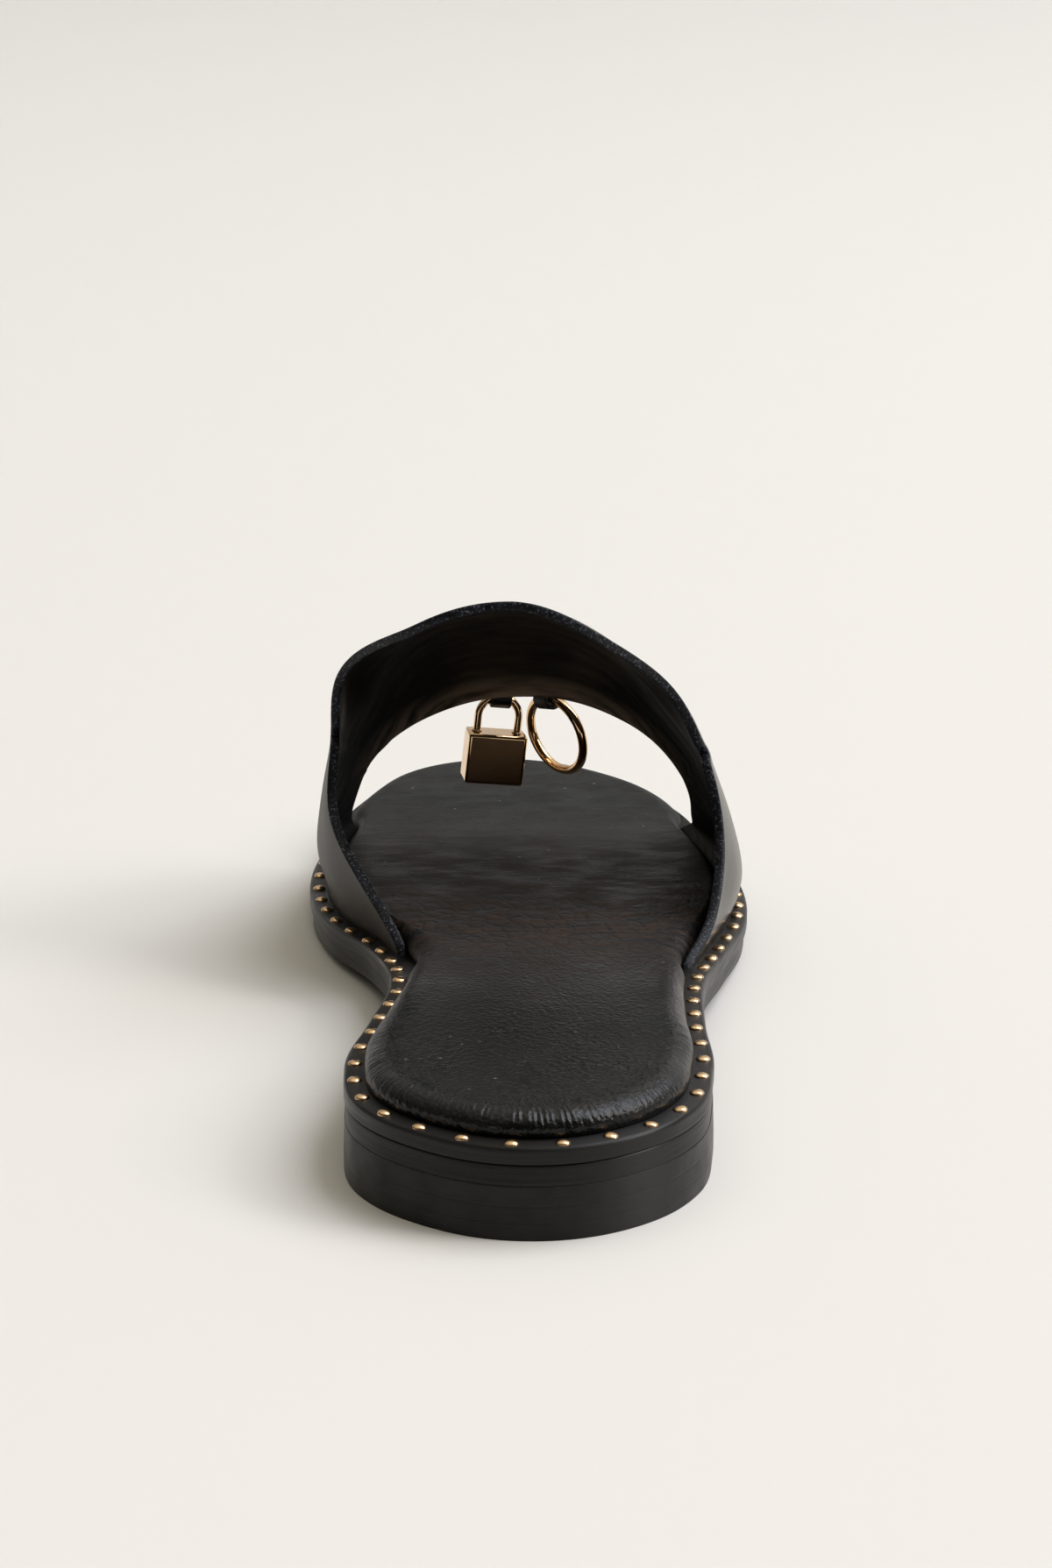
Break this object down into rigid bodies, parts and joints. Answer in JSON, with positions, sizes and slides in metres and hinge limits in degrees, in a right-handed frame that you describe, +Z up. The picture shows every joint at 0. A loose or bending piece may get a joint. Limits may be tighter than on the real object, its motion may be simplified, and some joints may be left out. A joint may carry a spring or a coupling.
{
  "type": "flat sandal",
  "caption": "Right-foot leather slide sandal with one wide arched strap, padded insole, low stacked heel, and a small padlock and ring that hang from the strap's front edge.",
  "frame": {"origin": "on the floor, under the middle of the sole's length and width", "axes": "+Y from heel to toe, +X towards the outer side of the foot, +Z up"},
  "size_m": [0.093, 0.2453, 0.0808],
  "materials": {
    "outsole_leather": "black sole leather, matt",
    "heel_stack": "black stacked heel board, satin",
    "midsole_leather": "black leather cover with brass dome studs",
    "insole_leather": "black padded leather, fine grain",
    "strap_leather": "black smooth leather, satin",
    "loop_leather": "black leather strip, satin",
    "charm_brass": "polished warm brass"
  },
  "bodies": {
    "sandal": {"outsole": "outsole_leather", "heel_top_piece": "heel_stack", "heel_lift_lower": "heel_stack", "heel_lift_upper": "heel_stack", "midsole": "midsole_leather", "insole": "insole_leather", "upper": "strap_leather", "padlock_loop": "loop_leather", "ring_loop": "loop_leather"},
    "padlock": {"padlock_body": "charm_brass", "padlock_shackle": "charm_brass"},
    "ring": {"charm_ring": "charm_brass"}
  },
  "joints": [
    {"name": "padlock_swing", "type": "hinge", "parent": "sandal", "child": "padlock", "pos_m": [-0.00579, 0.07042, 0.0436], "axis": [0.9785, 0.1725, -0.1132], "range_deg": [-70, 150]},
    {"name": "ring_swing", "type": "hinge", "parent": "sandal", "child": "ring", "pos_m": [0.00431, 0.07242, 0.0428], "axis": [0.6349, -0.7566, 0.1564], "range_deg": [-21, 109]}
  ]
}
